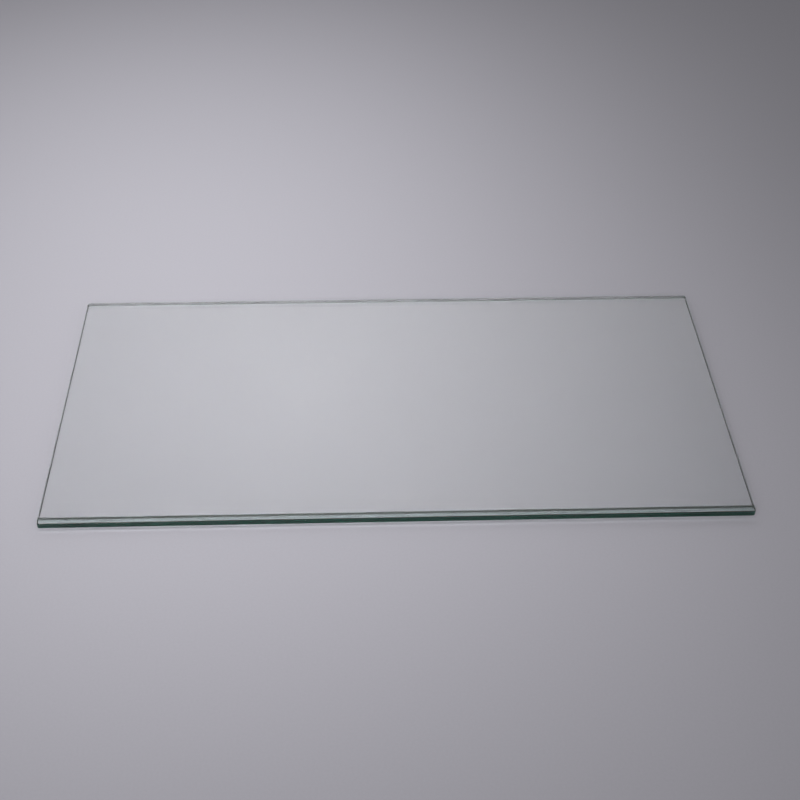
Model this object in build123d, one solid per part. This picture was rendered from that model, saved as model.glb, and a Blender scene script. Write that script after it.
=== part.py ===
from build123d import *
import os

# Fridge shelf: one flat pane of toughened float glass, lying on its underside.
# Millimetres, +Z up, origin under the middle of the pane. The front edge is the -Y side.

# The pane
SHELF_WIDTH = 430.0
SHELF_DEPTH = 226.0
GLASS_THICKNESS = 6.0

# Ground edges: rounded corners in plan, and a small 45 degree arris on every outer edge
CORNER_RADIUS = 2.0
ARRIS = 0.3

# Rebate ground into the underside along the front edge, from end to end.
# It leaves a thinner lip in front, and the wheel leaves a small hollow in the inner corner.
REBATE_WIDTH = 7.2
REBATE_DEPTH = 2.1
HOLLOW_RADIUS = 0.4

END = SHELF_WIDTH / 2
FRONT = -SHELF_DEPTH / 2
BACK = SHELF_DEPTH / 2
WALL = FRONT + REBATE_WIDTH
SMALL = 0.001


def front_to_back_section():
    """Section of the pane in the YZ plane, with square outer edges and the rebated front."""
    with BuildSketch(Plane.YZ) as section:
        with BuildLine():
            Polyline(
                (FRONT, GLASS_THICKNESS),
                (FRONT, REBATE_DEPTH),
                (WALL, REBATE_DEPTH),
                (WALL, 0),
                (BACK, 0),
                (BACK, GLASS_THICKNESS),
                close=True,
            )
        make_face()
        # In the sketch's own axes, X runs front to back and Y runs up
        inner_corner = [v for v in section.vertices() if abs(v.X - WALL) < SMALL and v.Y > SMALL]
        fillet(inner_corner, HOLLOW_RADIUS)
    return section.sketch


def is_outer_upright(edge):
    """True for the four upright edges at the corners of the outline."""
    middle = edge.center()
    return abs(abs(middle.X) - END) < SMALL and abs(abs(middle.Y) - BACK) < SMALL


def takes_arris(edge):
    """True for an edge with a corner to take off, false for a line where a curve only begins."""
    middle = edge.center()
    box = edge.bounding_box()
    if box.size.X < SMALL and box.size.Y < SMALL:
        return abs(middle.Y - WALL) < SMALL
    begins_hollow = box.size.X > END and box.min.Z > SMALL and abs(middle.Y) < BACK - SMALL
    return not begins_hollow


def glass_pane():
    """Blank cut to size, its corners rounded, then every outer edge arrised."""
    blank = extrude(front_to_back_section(), amount=END, both=True)
    corner_edges = blank.edges().filter_by(Axis.Z).filter_by(is_outer_upright)
    rounded = fillet(corner_edges, CORNER_RADIUS)
    outline = rounded.edges().filter_by(takes_arris)
    return chamfer(outline, ARRIS)


os.makedirs("parts", exist_ok=True)
shelf = glass_pane()
export_step(shelf, "parts/glass_shelf.step")
print("glass shelf: solids", len(shelf.solids()), "volume mm3", round(shelf.volume, 1))
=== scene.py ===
# %% [markdown]
# # A fridge shelf of clear glass
# The object is one pane of toughened float glass, about as wide as a forearm and hand are long and
# nearly as thick as a pencil. It has no frame and no print, so all that the eye gets is what glass
# does to light: a faint green cast on the face, dark green at the front edge, and thin dark lines
# round the sides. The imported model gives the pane's box, and every piece below is placed from it,
# in metres.

# %% Load the frame
import math

import bpy
import numpy as np
from mathutils import Matrix, Vector


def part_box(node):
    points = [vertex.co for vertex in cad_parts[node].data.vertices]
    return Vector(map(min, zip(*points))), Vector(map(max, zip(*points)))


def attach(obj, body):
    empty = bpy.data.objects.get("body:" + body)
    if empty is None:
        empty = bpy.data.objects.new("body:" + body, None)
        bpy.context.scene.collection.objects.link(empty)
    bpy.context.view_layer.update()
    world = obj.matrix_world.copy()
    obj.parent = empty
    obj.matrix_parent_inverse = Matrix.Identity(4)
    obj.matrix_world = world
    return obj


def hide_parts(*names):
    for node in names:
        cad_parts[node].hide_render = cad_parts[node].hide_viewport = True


MM = 1e-3

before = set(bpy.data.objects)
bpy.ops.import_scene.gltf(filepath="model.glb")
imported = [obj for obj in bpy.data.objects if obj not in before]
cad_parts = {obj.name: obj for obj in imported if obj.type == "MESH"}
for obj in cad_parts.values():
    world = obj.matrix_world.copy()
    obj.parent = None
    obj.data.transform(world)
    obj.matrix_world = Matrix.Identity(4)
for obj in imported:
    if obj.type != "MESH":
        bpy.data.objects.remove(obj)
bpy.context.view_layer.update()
pane_low, pane_high = (np.array(corner, float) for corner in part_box("glass_shelf"))
width, depth, thickness = pane_high - pane_low
print(f"pane {width / MM:.1f} x {depth / MM:.1f} x {thickness / MM:.2f} mm")

# %% [markdown]
# ## The camera
# The photograph was taken from about 0.6 m above the front edge and as far in front of it, looking
# down at about 39 degrees with a fairly long lens. The four corners of the pane in the picture fix
# the camera: its place, its three angles, and its focal length in pixels of an 800 pixel frame.

# %% Camera
IMAGE_PX = 800
FOCAL_PX = 1420.42
SENSOR_MM = 36.0
CAMERA_EYE = Vector((-0.02484, -0.72560, 0.59420))
PITCH_DEG, YAW_DEG, ROLL_DEG = 39.0854, 2.3058, 0.5781


def camera_matrix(eye, pitch, yaw, roll):
    """Looks along +Y turned right by yaw and down by pitch, then rolled about the line of sight."""
    forward = Vector((
        math.sin(yaw) * math.cos(pitch),
        math.cos(yaw) * math.cos(pitch),
        -math.sin(pitch),
    ))
    level = Vector((math.cos(yaw), -math.sin(yaw), 0.0))
    upright = level.cross(forward)
    right = math.cos(roll) * level + math.sin(roll) * upright
    up = math.cos(roll) * upright - math.sin(roll) * level
    matrix = Matrix((right, up, -forward)).transposed().to_4x4()
    matrix.translation = eye
    return matrix


camera_data = bpy.data.cameras.new("photo_camera")
camera_data.sensor_width = SENSOR_MM
camera_data.lens = SENSOR_MM * FOCAL_PX / IMAGE_PX
camera = bpy.data.objects.new("photo_camera", camera_data)
camera.matrix_world = camera_matrix(CAMERA_EYE, *map(math.radians, (PITCH_DEG, YAW_DEG, ROLL_DEG)))
bpy.context.collection.objects.link(camera)
bpy.context.scene.camera = camera
print(f"lens {camera_data.lens:.1f} mm at {CAMERA_EYE.length:.2f} m from the pane's middle")

# %% [markdown]
# ## Helpers for materials
# Colours are written as sRGB hex values, as a paint chart gives them, and turned to linear light in
# one place. One small function adds a node, sets its values and links its inputs.

# %% Colour and node helpers
WHITE = "#ffffff"
MID_GREY = "#808080"


def linear(hex_colour):
    """sRGB hex to linear RGBA: c / 12.92 below 0.04045, else ((c + 0.055) / 1.055) to the 2.4."""
    srgb = np.array([int(hex_colour[i:i + 2], 16) for i in (1, 3, 5)]) / 255.0
    rgb = np.where(srgb <= 0.04045, srgb / 12.92, ((srgb + 0.055) / 1.055) ** 2.4)
    return (*map(float, rgb), 1.0)


def add_node(tree, kind, settings=None, **inputs):
    """New node of one kind. Settings are its own properties. Inputs are values to set or sockets to
    link, each under the input's name with _ for a space, or under _ and the input's number."""
    node = tree.nodes.new(kind)
    for name, value in (settings or {}).items():
        setattr(node, name, value)
    for name, value in inputs.items():
        socket = node.inputs[int(name[1:])] if name[0] == "_" else node.inputs[name.replace("_", " ")]
        if isinstance(value, bpy.types.NodeSocket):
            tree.links.new(value, socket)
        else:
            socket.default_value = value
    return node


def new_material(name):
    """Material with an empty node tree."""
    material = bpy.data.materials.new(name)
    material.use_nodes = True
    material.node_tree.nodes.clear()
    return material, material.node_tree


print(f"mid grey {MID_GREY} is {linear(MID_GREY)[0]:.3f} of white in linear light")

# %% [markdown]
# ## The pane
# A glass cutter scores the blank, a wheel rounds its corners and takes a small arris off each edge,
# and a last wheel grinds a rebate into the underside along the front, which leaves a thinner lip.
# The upper face stays flat. Seen from above, the wall of the rebate is the dark line behind the
# front edge. A box with a bevel and a cut could make this shape, but its faces would not know how
# they were worked. So the mesh follows the wheels: rings run round the outline, strips join the
# rings, flats fill what is left, and each face is marked with the finish of its group.

# %% Sizes of the ground edges
CORNER_RADIUS = 2.0 * MM
ARRIS = 0.3 * MM
REBATE_WIDTH = 7.2 * MM
REBATE_DEPTH = 2.1 * MM
HOLLOW_RADIUS = 0.4 * MM
# Points round one corner in plan, and round the hollow in section
CORNER_POINTS = 11
HOLLOW_POINTS = 9

# The pane is centred on the origin, so its high corner gives half its width and half its depth
half_width, half_depth = pane_high[:2]
print(f"lip {(thickness - REBATE_DEPTH) / MM:.1f} mm thick, {REBATE_WIDTH / MM:.1f} mm front to back")

# %% Rings round the outline


def corner_ring(inset, front_height, back_height):
    """Points round the four corners, counterclockwise from the front right corner, at one height on
    the front corners and one on the back: corner centre + (corner radius - inset) * outward."""
    quarter = np.linspace(0.0, math.pi / 2, CORNER_POINTS)
    turns = np.concatenate([quarter + start * math.pi / 2 for start in (-1, 0, 1, 2)])
    outward = np.column_stack([np.cos(turns), np.sin(turns)])
    quadrants = np.array([[1, -1], [1, 1], [-1, 1], [-1, -1]])
    centres = quadrants * (np.array([half_width, half_depth]) - CORNER_RADIUS)
    plan = np.repeat(centres, CORNER_POINTS, axis=0) + (CORNER_RADIUS - inset) * outward
    heights = np.where(plan[:, 1] < 0, front_height, back_height)
    return np.column_stack([plan, heights])


def rebate_profile():
    """Underside of the rebate as (distance from the edge, height): round the hollow, down the wall
    and over the arris at its foot. Second, the same points moved into the glass by one arris."""
    turns = np.linspace(0.0, math.pi / 2, HOLLOW_POINTS)
    outward = np.column_stack([np.sin(turns), np.cos(turns)])
    centre = np.array([REBATE_WIDTH, REBATE_DEPTH]) - HOLLOW_RADIUS
    foot = [REBATE_WIDTH + ARRIS, ARRIS]
    surface = np.vstack([centre + HOLLOW_RADIUS * outward, [REBATE_WIDTH, ARRIS], [foot[0], 0.0]])
    inside = np.vstack([centre + (HOLLOW_RADIUS + ARRIS) * outward, foot, foot])
    return surface, inside


def lower_ring(corners, profile, x):
    """The corner points with the rebate's profile spliced in along the right and the left end."""
    front_right, back, front_left = np.split(corners, [CORNER_POINTS, 3 * CORNER_POINTS])
    right = np.column_stack([np.full(len(profile), x), profile[:, 0] - half_depth, profile[:, 1]])
    left = right[::-1] * [-1, 1, 1]
    return np.vstack([front_right, right, back, left, front_left])


def pane_rings():
    """Four rings, from the underside up: the lower arris lies between the first two, the upright
    edges between the middle two and the upper arris between the last two."""
    surface, inside = rebate_profile()
    return [
        lower_ring(corner_ring(ARRIS, REBATE_DEPTH, 0.0), surface, half_width - ARRIS),
        lower_ring(corner_ring(0.0, REBATE_DEPTH + ARRIS, ARRIS), inside, half_width),
        corner_ring(0.0, thickness - ARRIS, thickness - ARRIS),
        corner_ring(ARRIS, thickness, thickness),
    ]


rings = pane_rings()
print("points in the rings, from the underside up:", [len(ring) for ring in rings])

# %% Faces between the rings


def strip(lower, upper):
    """Quads between two runs of point numbers, facing outward when the runs go counterclockwise."""
    return np.column_stack([lower[:-1], lower[1:], upper[1:], upper[:-1]]).tolist()


def closed(ring):
    """A ring of point numbers that ends on its first one."""
    return np.append(ring, ring[0])


def pane_faces(under, low, high, top):
    """Faces as lists of point numbers, in named groups. The two lower rings are cut where the rebate
    begins and ends: front right corner, right end, both back corners, left end, front left corner."""
    profile_points = (len(under) - len(top)) // 2
    cuts = np.cumsum([CORNER_POINTS, profile_points, 2 * CORNER_POINTS, profile_points])
    under_front_right, under_right, under_back, under_left, under_front_left = np.split(under, cuts)
    low_front_right, low_right, low_back, low_left, low_front_left = np.split(low, cuts)
    high_front_right, high_back, high_front_left = np.split(high, [CORNER_POINTS, 3 * CORNER_POINTS])
    low_front = np.append(low_front_left, low_front_right)
    high_front = np.append(high_front_left, high_front_right)
    underside = [*under_back, under_left[0], under_right[-1]][::-1]
    lip = [*under_front_left, *under_front_right, under_right[0], under_left[-1]][::-1]
    right_end = [low_front_right[-1], *low_right, low_back[0], high_back[0], high_front_right[-1]]
    left_end = [low_back[-1], *low_left, low_front_left[0], high_front_left[0], high_back[-1]]
    return {
        "flat": [top.tolist(), underside],
        "arris": strip(closed(under), closed(low)) + strip(closed(high), closed(top)),
        "rebate": [lip] + strip(under_left[::-1], under_right),
        "front": strip(low_front, high_front),
        "sides": [right_end, left_end],
        "back": strip(low_back, high_back),
    }


ring_ends = np.cumsum([len(ring) for ring in rings])
groups = pane_faces(*np.split(np.arange(ring_ends[-1]), ring_ends[:-1]))
print("faces:", ", ".join(f"{name} {len(faces)}" for name, faces in groups.items()))

# %% The pane's mesh
# Points that agree to this many decimals of a metre are one point
JOIN_DECIMALS = 9
# An edge that turns by more than this stays crisp, so rounds shade smooth and arrises don't
CRISP_ANGLE_DEG = 20
# How matt a worked face is, as a share of the back edge, and 0 for the groups that aren't named
MATT_SHARE = {"back": 1.0, "sides": 0.65, "rebate": 0.5}


def pane_mesh(name):
    """The rings' points and the groups' faces, joined where points share a place. Each face carries
    three attributes: ground is 0 on the two flats the float bath has left and 1 where a wheel has
    been, front is 1 on the upright front edge, and matt is the face's share of the matt finish."""
    points = np.vstack(rings) + [0, 0, pane_low[2]]
    places, joined = np.unique(points.round(JOIN_DECIMALS), axis=0, return_inverse=True)
    joined = joined.ravel()
    faces = [list(dict.fromkeys(joined[face].tolist())) for group in groups.values() for face in group]
    mesh = bpy.data.meshes.new(name)
    mesh.from_pydata(places.tolist(), [], faces)

    group_of_face = np.repeat(list(groups), [len(group) for group in groups.values()])
    layers = {
        "ground": group_of_face != "flat",
        "front": group_of_face == "front",
        "matt": np.array([MATT_SHARE.get(group, 0.0) for group in group_of_face]),
    }
    for layer, values in layers.items():
        attribute = mesh.attributes.new(layer, "FLOAT", "FACE")
        attribute.data.foreach_set("value", values.astype(np.float32))
    mesh.shade_smooth()
    mesh.set_sharp_from_angle(angle=math.radians(CRISP_ANGLE_DEG))
    return mesh


pane = bpy.data.objects.new("shelf_pane", pane_mesh("shelf_pane"))
bpy.context.collection.objects.link(pane)
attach(pane, "root")
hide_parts("glass_shelf")
print(f"pane mesh: {len(pane.data.vertices)} points, {len(pane.data.polygons)} faces")

# %% [markdown]
# ## The glass
# Ordinary window glass is soda-lime glass floated on molten tin. Iron in the sand takes red light
# out first, so a thin pane looks clear and the long way through it looks dark green. That is
# absorption inside a clear body, so most of the colour is a volume, given per metre of glass.
# The two flats are as smooth as the tin left them. The wheels leave fine lines along the worked
# edges, the front edge is polished again because a hand meets it, the rebate and the sides stay
# matt, and the back, which nobody sees, is the most matt of all. A trace of green shade is painted
# on the worked faces, stronger and darker on the front edge; it stands for light that has bounced
# about inside the pane for longer than a render can follow it.

# %% Float glass
GLASS_IOR = 1.52
ABSORPTION_PER_M = 13.2
ABSORPTION_TINT = "#00624a"
# Painted shade: a faint green on every worked face, for light that bounces about inside the pane
PAINTED_GROUND_SHADE = "#edfffa"
# Painted shade: the upright front edge takes a deep green, for light that runs about inside the pane
# longer than a render follows it
PAINTED_FRONT_SHADE = "#40e8b4"
# Real grinding lines are a few hundredths of a millimetre wide, drawn coarser here so that they show
GRIND_LINE = 1.1 * MM
# The pattern is squeezed to this share along X, which draws the lines out along the front and back
LINE_SQUEEZE = 0.03
# Noise between these values goes from the roughness of a clear stretch to that of a line
NOISE_LOW, NOISE_HIGH = 0.3, 0.7
CLEAR_ROUGHNESS, LINE_ROUGHNESS = 0.02, 0.10
MATT_ROUGHNESS = 0.46


def soda_lime_float_glass():
    """Gives the eye a clear sheet with a deep green front: smooth flats, fine lines on the worked
    edges, matt rebate, sides and back, and painted green shade on the worked faces, deepest on the
    front edge. Roughness = grinding lines where ground + a share of the matt roughness."""
    material, tree = new_material("soda_lime_float_glass")
    ground, front, matt = (
        add_node(tree, "ShaderNodeAttribute", {"attribute_name": layer}).outputs["Fac"]
        for layer in ("ground", "front", "matt")
    )
    place = add_node(tree, "ShaderNodeTexCoord").outputs["Object"]
    drawn_out = add_node(tree, "ShaderNodeMapping", Vector=place,
                         Scale=(LINE_SQUEEZE, 1.0, 1.0)).outputs[0]
    lines = add_node(tree, "ShaderNodeTexNoise", Vector=drawn_out, Scale=1.0 / GRIND_LINE,
                     Detail=3.0).outputs["Fac"]
    dull = add_node(tree, "ShaderNodeMapRange", Value=lines, From_Min=NOISE_LOW, From_Max=NOISE_HIGH,
                    To_Min=CLEAR_ROUGHNESS, To_Max=LINE_ROUGHNESS).outputs[0]
    lined = add_node(tree, "ShaderNodeMath", {"operation": "MULTIPLY"}, _0=ground, _1=dull).outputs[0]
    rough = add_node(tree, "ShaderNodeMath", {"operation": "MULTIPLY_ADD"}, _0=matt,
                     _1=MATT_ROUGHNESS, _2=lined).outputs[0]
    # Painted shade: the worked faces take the faint green, and the two flats stay white
    pale = add_node(tree, "ShaderNodeMix", {"data_type": "RGBA"}, _0=ground, _6=linear(WHITE),
                    _7=linear(PAINTED_GROUND_SHADE)).outputs[2]
    # Painted shade: the front edge's deep green is laid over the colour of the worked faces
    painted_shade_colour = add_node(tree, "ShaderNodeMix", {"data_type": "RGBA"}, _0=front, _6=pale,
                    _7=linear(PAINTED_FRONT_SHADE)).outputs[2]
    surface = add_node(tree, "ShaderNodeBsdfPrincipled", Base_Color=painted_shade_colour, Roughness=rough,
                       IOR=GLASS_IOR, Transmission_Weight=1.0).outputs[0]
    body = add_node(tree, "ShaderNodeVolumeAbsorption", Color=linear(ABSORPTION_TINT),
                    Density=ABSORPTION_PER_M).outputs[0]
    add_node(tree, "ShaderNodeOutputMaterial", Surface=surface, Volume=body)
    return material


glass = soda_lime_float_glass()
pane.data.materials.append(glass)
absorbed_per_m = ABSORPTION_PER_M * (1.0 - np.array(linear(ABSORPTION_TINT)[:3]))
through = " ".join(f"{part:.3f}" for part in np.exp(-absorbed_per_m * thickness))
print(f"{glass.name} lets through {through} of red, green and blue")

# %% [markdown]
# ## The stage
# The pane lies on a sheet of pale, slightly cool paper with a faint fleck. A hair of air stays
# between the two, as it does under real glass, so the underside still mirrors light like a face
# that meets air. The sheet is one flat face, far wider than any view of the pane, so that its end
# is a straight horizon.

# %% Paper floor
FLOOR_SIZE = 40.0
AIR_GAP = 0.03 * MM
PAPER, PAPER_FIBRE = "#c7c5ce", "#c1bfc8"
PAPER_ROUGHNESS = 0.9
PAPER_SPECULAR = 0.2
# Fibres in uncoated paper gather in clumps a millimetre or two across
FIBRE_CLUMP = 1.5 * MM


def pale_paper():
    """Matt uncoated paper: gives the eye a soft pale ground, with a fine fleck of darker fibre."""
    material, tree = new_material("pale_paper")
    place = add_node(tree, "ShaderNodeTexCoord").outputs["Object"]
    fleck = add_node(tree, "ShaderNodeTexNoise", Vector=place, Scale=1.0 / FIBRE_CLUMP,
                     Detail=2.0).outputs["Fac"]
    tone = add_node(tree, "ShaderNodeMix", {"data_type": "RGBA"}, _0=fleck, _6=linear(PAPER),
                    _7=linear(PAPER_FIBRE)).outputs[2]
    surface = add_node(tree, "ShaderNodeBsdfPrincipled", Base_Color=tone, Roughness=PAPER_ROUGHNESS,
                       Specular_IOR_Level=PAPER_SPECULAR).outputs[0]
    add_node(tree, "ShaderNodeOutputMaterial", Surface=surface)
    return material


floor_corners = np.array([[-1, -1], [1, -1], [1, 1], [-1, 1]]) * FLOOR_SIZE / 2
floor_points = np.column_stack([floor_corners, np.full(4, pane_low[2] - AIR_GAP)])
floor_mesh = bpy.data.meshes.new("paper_floor")
floor_mesh.from_pydata(floor_points.tolist(), [], [[0, 1, 2, 3]])
floor_mesh.materials.append(pale_paper())
floor = bpy.data.objects.new("paper_floor", floor_mesh)
bpy.context.collection.objects.link(floor)
print(f"paper {FLOOR_SIZE:.0f} m across, {AIR_GAP / MM:.2f} mm under the pane")

# %% [markdown]
# ## The light
# A long soft lamp hangs over the left half of the pane and is turned to the back left, so the light
# falls off to the right. A softbox stands behind, where the upper face mirrors it to the viewer. A
# fill in front sends some light under the lip, which would otherwise stand in its own shadow, and
# an even pale room does the rest. All are large, so that the edges throw only soft shadows on the
# paper.

# %% Lamps and room
ROOM_LIGHT = 0.21
# Places, aims and sizes in metres
LAMPS = {
    "overhead_lamp": {
        "place": (-0.115, -0.08, 0.90),
        "aim": (-0.16, 0.23, 0.0),
        "size": (0.5, 0.8),
        "spread_deg": 52.0,
        "watts": 0.94,
    },
    "back_softbox": {
        "place": (0.0, 1.40, 1.20),
        "aim": (0.06, -0.10, 0.0),
        "size": (1.7, 0.75),
        "spread_deg": 40.0,
        "watts": 0.22,
    },
    "front_fill": {
        "place": (-0.30, -1.25, 0.88),
        "aim": (-0.15, -0.05, 0.0),
        "size": (0.9, 0.4),
        "spread_deg": 55.0,
        "watts": 0.80,
    },
}


def soft_lamp(name, place, aim, size, spread_deg, watts):
    """Rectangular area lamp at a place, facing its aim, with its beam held to a spread."""
    data = bpy.data.lights.new(name, "AREA")
    data.shape = "RECTANGLE"
    data.size, data.size_y = size
    data.energy = watts
    data.spread = math.radians(spread_deg)
    lamp = bpy.data.objects.new(name, data)
    lamp.location = place
    lamp.rotation_euler = (Vector(aim) - Vector(place)).to_track_quat("-Z", "Y").to_euler()
    bpy.context.collection.objects.link(lamp)


for lamp_name, lamp_values in LAMPS.items():
    soft_lamp(lamp_name, **lamp_values)

world = bpy.data.worlds.new("pale_room")
bpy.context.scene.world = world
world.use_nodes = True
world.node_tree.nodes.clear()
room = add_node(world.node_tree, "ShaderNodeBackground", Color=linear(WHITE), Strength=ROOM_LIGHT)
add_node(world.node_tree, "ShaderNodeOutputWorld", Surface=room.outputs[0])
print(f"{len(LAMPS)} lamps, room at {ROOM_LIGHT}")

# %% [markdown]
# ## Hand over
# Standard view, so that colours come out as written. Light runs along inside the pane by bouncing
# between its two faces, so its paths get many bounces, and the filter that blurs glossy faces after
# a matt bounce is off, because it would dull the edges.

# %% Finish
LIGHT_BOUNCES = 64

bpy.context.scene.view_settings.view_transform = "Standard"
cycles = bpy.context.scene.cycles
cycles.blur_glossy = 0.0
cycles.max_bounces = LIGHT_BOUNCES
cycles.glossy_bounces = LIGHT_BOUNCES
cycles.transmission_bounces = LIGHT_BOUNCES
